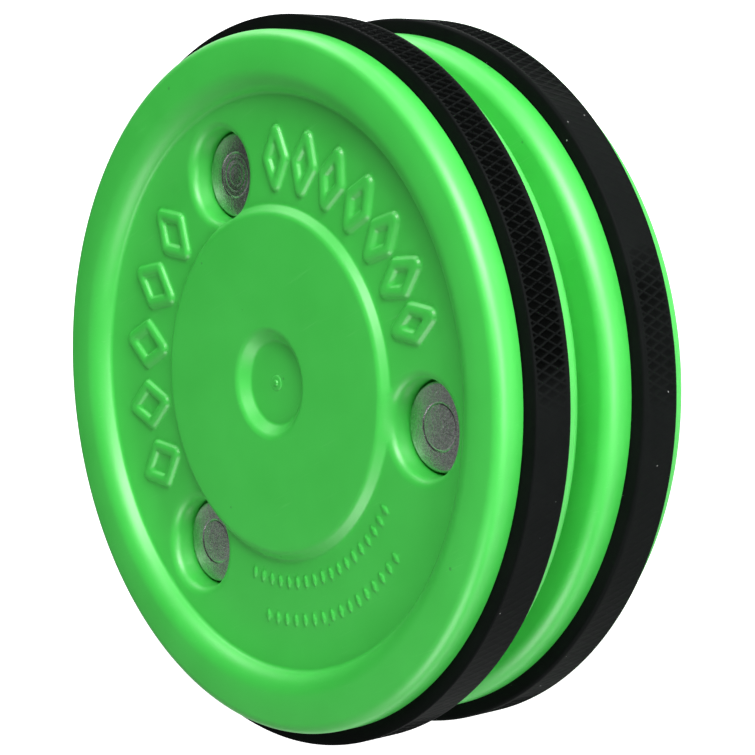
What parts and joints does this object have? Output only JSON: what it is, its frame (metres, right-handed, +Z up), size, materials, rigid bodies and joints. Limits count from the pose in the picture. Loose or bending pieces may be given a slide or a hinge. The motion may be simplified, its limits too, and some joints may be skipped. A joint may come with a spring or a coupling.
{
  "type": "hockey puck",
  "caption": "Floor training puck of two identical flanged plastic discs, each with a knurled rubber band, held loosely back to back by two-piece rivets.",
  "frame": {"origin": "centre of the puck's bottom, on the surface it lies on", "axes": "+Z up along the puck's axis, +Y through the first rivet"},
  "size_m": [0.0762, 0.0762, 0.0254],
  "materials": {
    "green_plastic": "moulded, satin gloss with a slight sheen",
    "black_rubber": "matt, diamond knurled, worn in patches",
    "rivet_steel": "tumbled, dull"
  },
  "bodies": {
    "lower_half": {"lower_disc": "green_plastic", "lower_band": "black_rubber"},
    "upper_half": {"upper_disc": "green_plastic", "upper_band": "black_rubber"},
    "rivet_1": {"rivet_sleeve_1": "rivet_steel", "rivet_pin_1": "rivet_steel"},
    "rivet_2": {"rivet_sleeve_2": "rivet_steel", "rivet_pin_2": "rivet_steel"},
    "rivet_3": {"rivet_sleeve_3": "rivet_steel", "rivet_pin_3": "rivet_steel"}
  },
  "joints": [
    {"name": "half_lift", "type": "slide", "parent": "lower_half", "child": "upper_half", "axis": [0, 0, 1], "range_m": [0, 0.001]},
    {"name": "rivet_spin_1", "type": "hinge", "parent": "upper_half", "child": "rivet_1", "pos_m": [0, 0.0235, 0.0127], "axis": [0, 0, 1], "continuous": true},
    {"name": "rivet_spin_2", "type": "hinge", "parent": "upper_half", "child": "rivet_2", "pos_m": [-0.02035, -0.01175, 0.0127], "axis": [0, 0, 1], "continuous": true},
    {"name": "rivet_spin_3", "type": "hinge", "parent": "upper_half", "child": "rivet_3", "pos_m": [0.02035, -0.01175, 0.0127], "axis": [0, 0, 1], "continuous": true}
  ]
}
